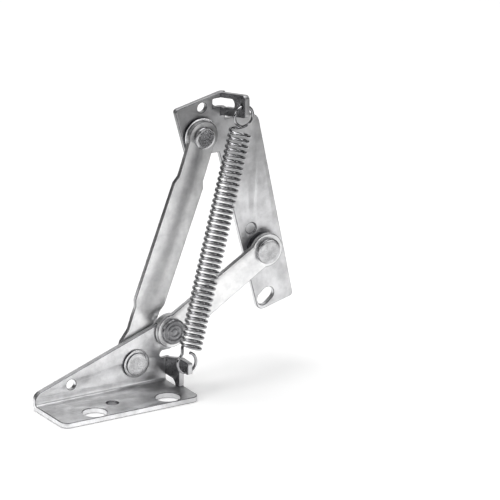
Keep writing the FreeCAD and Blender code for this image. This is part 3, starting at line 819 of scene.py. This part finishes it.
@dataclass
class SpringWinding:
    """Tension spring of round wire with a full loop at each end."""

    low: Corner = mm(28.5, 3.2, 14.5)
    high: Corner = mm(56.0, 3.2, 118.4)
    wire: float = 0.65 * MM
    radius: float = 4.35 * MM
    to_loop: float = 1.9 * MM
    turns: int = 40
    first_angle: float = -35.0
    sweep: float = 300.0
    wire_sides: int = 14
    turn_steps: int = 40
    entry_steps: int = 14
    loop_steps: int = 36
    entry_pull: float = 0.55
    loop_pull: float = 0.45
    weld: float = 0.001 * MM
    smooth_angle: float = 50.0
    finish: PlatedSteel = PlatedSteel(
        "spring_wire_plating", shade=0.40, roughness=0.07, roughness_spread=0.04,
        streak_scale=2600.0, stain_scale=240.0, grain=Grain.NONE)

    def axes(self) -> tuple[Vector, Vector, Vector]:
        """Directions of the spring: to its side, backwards and along its length."""
        up = (Vector(self.high) - Vector(self.low)).normalized()
        away = Vector((0.0, 1.0, 0.0))
        return away.cross(up), away, up

    def coil(self) -> bpy.types.Object:
        """Screw a round section into the close coil.

        Returns:
            The coil's mesh, standing on the origin with its axis along z.
        """
        distance = (Vector(self.high) - Vector(self.low)).length
        pitch = (distance - 2.0 * (self.radius + self.to_loop)) / self.turns
        slope = math.atan(pitch / (math.tau * self.radius))
        Hand.clear()
        bpy.ops.mesh.primitive_circle_add(
            vertices=self.wire_sides, radius=self.wire, location=(self.radius, 0.0, 0.0),
            rotation=(math.pi / 2, 0.0, 0.0))
        piece = bpy.context.object
        bpy.ops.object.transform_apply(location=True, rotation=True, scale=True)
        bpy.ops.object.mode_set(mode="EDIT")
        bpy.ops.mesh.select_all(action="SELECT")
        bpy.ops.transform.rotate(value=slope, orient_axis="X", center_override=(self.radius, 0.0, 0.0))
        bpy.ops.object.mode_set(mode="OBJECT")
        winding = piece.modifiers.new("winding", "SCREW")
        winding.axis = "Z"
        winding.angle = math.tau
        winding.screw_offset = pitch
        winding.iterations = self.turns
        winding.steps = self.turn_steps
        winding.render_steps = self.turn_steps
        winding.use_merge_vertices = True
        winding.merge_threshold = self.weld
        Hand.apply_all(piece)
        return piece

    def loop_path(self, outward: float) -> list[Vector]:
        """Path of the wire from the coil's end around a full loop.

        Args:
            outward: 1 for the upper loop and -1 for the lower one.

        Returns:
            Points of a soft entry curve and of the round loop.
        """
        side, away, up = self.axes()
        centre = Vector(self.high if outward > 0 else self.low)
        along = up * outward
        across = side * outward

        def around(turn: float) -> Vector:
            """Point of the round loop at an angle from its side direction."""
            return centre + (across * math.cos(turn) + along * math.sin(turn)) * self.radius

        first = math.radians(self.first_angle)
        begin = centre - along * (self.radius + self.to_loop) + away * self.radius
        entry = around(first)
        heading = along * math.cos(first) - across * math.sin(first)
        begin_pole = begin + across * (self.entry_pull * self.radius)
        entry_pole = entry - heading * (self.loop_pull * self.radius)
        points = []
        for number in range(self.entry_steps):
            part = number / self.entry_steps
            rest = 1.0 - part
            points.append(begin * rest ** 3 + begin_pole * (3 * rest * rest * part)
                          + entry_pole * (3 * rest * part * part) + entry * part ** 3)
        turn_step = math.radians(self.sweep) / self.loop_steps
        points.extend(around(first + turn_step * number) for number in range(self.loop_steps + 1))
        return points

    def loop(self, outward: float) -> bpy.types.Object:
        """Bend a wire along the path of one loop.

        Args:
            outward: 1 for the upper loop and -1 for the lower one.

        Returns:
            The loop's mesh at its place in the row frame.
        """
        points = self.loop_path(outward)
        curve = bpy.data.curves.new("loop", "CURVE")
        curve.dimensions = "3D"
        spline = curve.splines.new("POLY")
        spline.points.add(len(points) - 1)
        for point, place in zip(spline.points, points):
            point.co = (*place, 1.0)
        curve.bevel_depth = self.wire
        curve.bevel_resolution = 4
        curve.use_fill_caps = True
        piece = bpy.data.objects.new("loop", curve)
        bpy.context.collection.objects.link(piece)
        Hand.hold(piece)
        bpy.ops.object.convert(target="MESH")
        return bpy.context.object

    def build(self) -> bpy.types.Object:
        """Make coil and loops one piece that stretches between the two spring bodies.

        Returns:
            The finished spring.
        """
        side, away, up = self.axes()
        coil = self.coil()
        foot = Vector(self.low) + up * (self.radius + self.to_loop)
        coil.matrix_world = Matrix((
            (away.x, side.x, up.x, foot.x),
            (away.y, side.y, up.y, foot.y),
            (away.z, side.z, up.z, foot.z),
            (0.0, 0.0, 0.0, 1.0)))
        Hand.settle(coil)
        spring = Hand.join([coil, self.loop(-1.0), self.loop(1.0)], "tension_spring_wire")
        Hand.outward(spring)
        Hand.settle(spring)
        bpy.ops.object.shade_smooth_by_angle(angle=math.radians(self.smooth_angle))
        spring.data.materials.clear()
        spring.data.materials.append(self.finish.make())
        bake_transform(spring)
        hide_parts("tension_spring", "spring_top_loop")
        return spring


@dataclass(frozen=True)
class Lamp:
    """Soft rectangular lamp, in metres and watts."""

    name: str
    place: Corner
    size: tuple[float, float]
    power: float

    def hang(self, aim: Corner) -> None:
        """Hang the lamp so that it faces a point."""
        data = bpy.data.lights.new(self.name, "AREA")
        data.shape = "RECTANGLE"
        data.size, data.size_y = self.size
        data.energy = self.power
        lamp = bpy.data.objects.new(self.name, data)
        bpy.context.collection.objects.link(lamp)
        lamp.location = self.place
        lamp.rotation_mode = "QUATERNION"
        lamp.rotation_quaternion = (Vector(aim) - Vector(self.place)).to_track_quat("-Z", "Y")


@dataclass(frozen=True)
class DarkCard:
    """Dark card just above the floor that only polished metal mirrors.

    The corners are places along x and y, in order around the card.
    """

    name: str
    corners: tuple[tuple[float, float], ...]
    shade: float
    height: float = 0.002

    def lay(self) -> None:
        """Lay the card and hide it from all but mirrored sight."""
        Hand.clear()
        bpy.ops.mesh.primitive_plane_add(size=1.0, location=(0.0, 0.0, 0.0))
        card = bpy.context.object
        card.name = self.name
        near_left, near_right, far_right, far_left = self.corners
        for vertex, corner in zip(card.data.vertices, (near_left, near_right, far_left, far_right)):
            vertex.co = (*corner, self.height)
        paint = Paint(self.name)
        paint.plain("Base Color", (self.shade, self.shade, self.shade))
        paint.plain("Roughness", 1.0)
        card.data.materials.append(paint.material)
        card.visible_camera = False
        card.visible_diffuse = False
        card.visible_shadow = False
        card.visible_transmission = False


@dataclass
class Studio:
    """Pale floor, soft lamps and the camera at the photograph's angle."""

    azimuth: float = -30.4
    elevation: float = 20.3
    lens: float = 1000.0
    sensor: float = 36.0
    sight: tuple[float, float] = (0.05, 50.0)
    pixels_per_mm: float = 2.4
    frame_pixels: float = 500.0
    anchor_node: str = "foot_arm_rivet"
    anchor_pixel: tuple[float, float] = (135.7, 363.3)
    wall: float = 0.04
    wall_top: float = 0.55
    ceiling: float = 0.70
    ceiling_from: float = 0.95
    floor_size: float = 6.0
    floor_shade: float = 0.90
    floor_roughness: float = 0.9
    floor_gloss: float = 0.1
    floor_lift: float = 0.25
    middle: Corner = mm(40.0, 5.0, 60.0)
    lamps: tuple[Lamp, ...] = (
        Lamp("key", (-1.05, -0.15, 0.70), (0.5, 0.6), 3.5),
        Lamp("fill", (0.60, -0.90, 0.25), (0.7, 0.4), 1.25),
        Lamp("back", (0.55, 0.95, 0.42), (0.9, 0.5), 1.0),
        Lamp("top", (0.05, 0.15, 1.1), (0.8, 0.8), 7.0),
    )
    cards: tuple[DarkCard, ...] = (
        DarkCard("front_card", ((0.10, -0.20), (0.60, -0.02), (1.10, -0.95), (0.50, -1.20)), 0.08),
        DarkCard("back_card", ((-0.60, 0.12), (-0.02, 0.16), (-0.02, 0.90), (-0.80, 0.90)), 0.06),
    )

    def directions(self) -> tuple[Vector, Vector, Vector]:
        """Camera directions.

        Returns:
            Right, up and backward directions of the camera.
        """
        turn, lift = math.radians(self.azimuth), math.radians(self.elevation)
        level = math.cos(lift)
        back = Vector((math.sin(turn) * level, -math.cos(turn) * level, math.sin(lift)))
        right = Vector((math.cos(turn), math.sin(turn), 0.0))
        return right, back.cross(right), back

    def camera(self) -> None:
        """Place the camera so that the main rivet falls where the photograph shows it."""
        right, up, back = self.directions()
        scale = self.pixels_per_mm / MM
        centre = self.frame_pixels / 2.0
        anchor_across, anchor_up = pivot_of(self.anchor_node)
        target = Vector((anchor_across, WEB_FRONT, anchor_up))
        target += right * ((centre - self.anchor_pixel[0]) / scale)
        target += up * ((self.anchor_pixel[1] - centre) / scale)
        data = bpy.data.cameras.new("camera")
        data.lens = self.lens
        data.sensor_width = self.sensor
        data.clip_start, data.clip_end = self.sight
        camera = bpy.data.objects.new("camera", data)
        bpy.context.collection.objects.link(camera)
        camera.location = target + back * (self.frame_pixels / scale * self.lens / self.sensor)
        camera.rotation_mode = "QUATERNION"
        camera.rotation_quaternion = (-back).to_track_quat("-Z", "Y")
        bpy.context.scene.camera = camera

    def white_ground(self) -> bpy.types.Material:
        """Floor paint that shows white to the camera and to metal, and keeps the soft shadow.

        Returns:
            The floor's material.
        """
        paint = Paint("pale_floor")
        paint.plain("Base Color", (self.floor_shade, self.floor_shade, self.floor_shade))
        paint.plain("Roughness", self.floor_roughness)
        paint.plain("Specular IOR Level", self.floor_gloss)
        paint.plain("Emission Color", (1.0, 1.0, 1.0))
        sights = paint.nodes.new("ShaderNodeLightPath").outputs
        mirrored = paint.larger(sights["Is Glossy Ray"], sights["Is Transmission Ray"])
        seen = paint.larger(sights["Is Camera Ray"], mirrored)
        lift = paint.spread(seen, (0.0, 1.0), (0.0, self.floor_lift))
        paint.link(lift, paint.shader.inputs["Emission Strength"])
        return paint.material

    def floor(self) -> None:
        """Lay a wide pale floor under the foot."""
        Hand.clear()
        bpy.ops.mesh.primitive_plane_add(size=self.floor_size, location=(0.0, 0.0, 0.0))
        ground = bpy.context.object
        ground.name = "studio_floor"
        Hand.settle(ground)
        ground.data.materials.append(self.white_ground())

    def world(self) -> None:
        """Surround the object with dim walls under a brighter ceiling."""
        world = bpy.data.worlds.new("studio")
        bpy.context.scene.world = world
        world.use_nodes = True
        nodes = world.node_tree.nodes
        links = world.node_tree.links
        direction = nodes.new("ShaderNodeTexCoord")
        split = nodes.new("ShaderNodeSeparateXYZ")
        ramp = nodes.new("ShaderNodeValToRGB")
        links.new(direction.outputs["Generated"], split.inputs["Vector"])
        links.new(split.outputs["Z"], ramp.inputs["Fac"])
        steps = ((self.wall_top, self.wall), (self.ceiling_from, self.ceiling))
        for element, (position, shade) in zip(ramp.color_ramp.elements, steps):
            element.position = position
            element.color = (shade, shade, shade, 1.0)
        links.new(ramp.outputs["Color"], nodes["Background"].inputs["Color"])

    def build(self) -> None:
        """Set up the whole studio."""
        self.camera()
        self.floor()
        self.world()
        for lamp in self.lamps:
            lamp.hang(self.middle)
        for card in self.cards:
            card.lay()
        bpy.context.scene.view_settings.view_transform = "Standard"


def report(piece: bpy.types.Object) -> None:
    """Log one finished piece with its face count."""
    LOG.info("%s: %d faces", piece.name, len(piece.data.polygons))


def main() -> None:
    """Load the frame, set up the studio and build the pieces in order."""
    logging.basicConfig(level=logging.INFO, format="%(name)s %(message)s")
    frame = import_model()
    Studio().build()
    for piece in SheetSet().build(frame):
        report(piece)
    for piece in PivotSet().build():
        report(piece)
    report(SpringWinding().build())


if __name__ == "__main__":
    main()
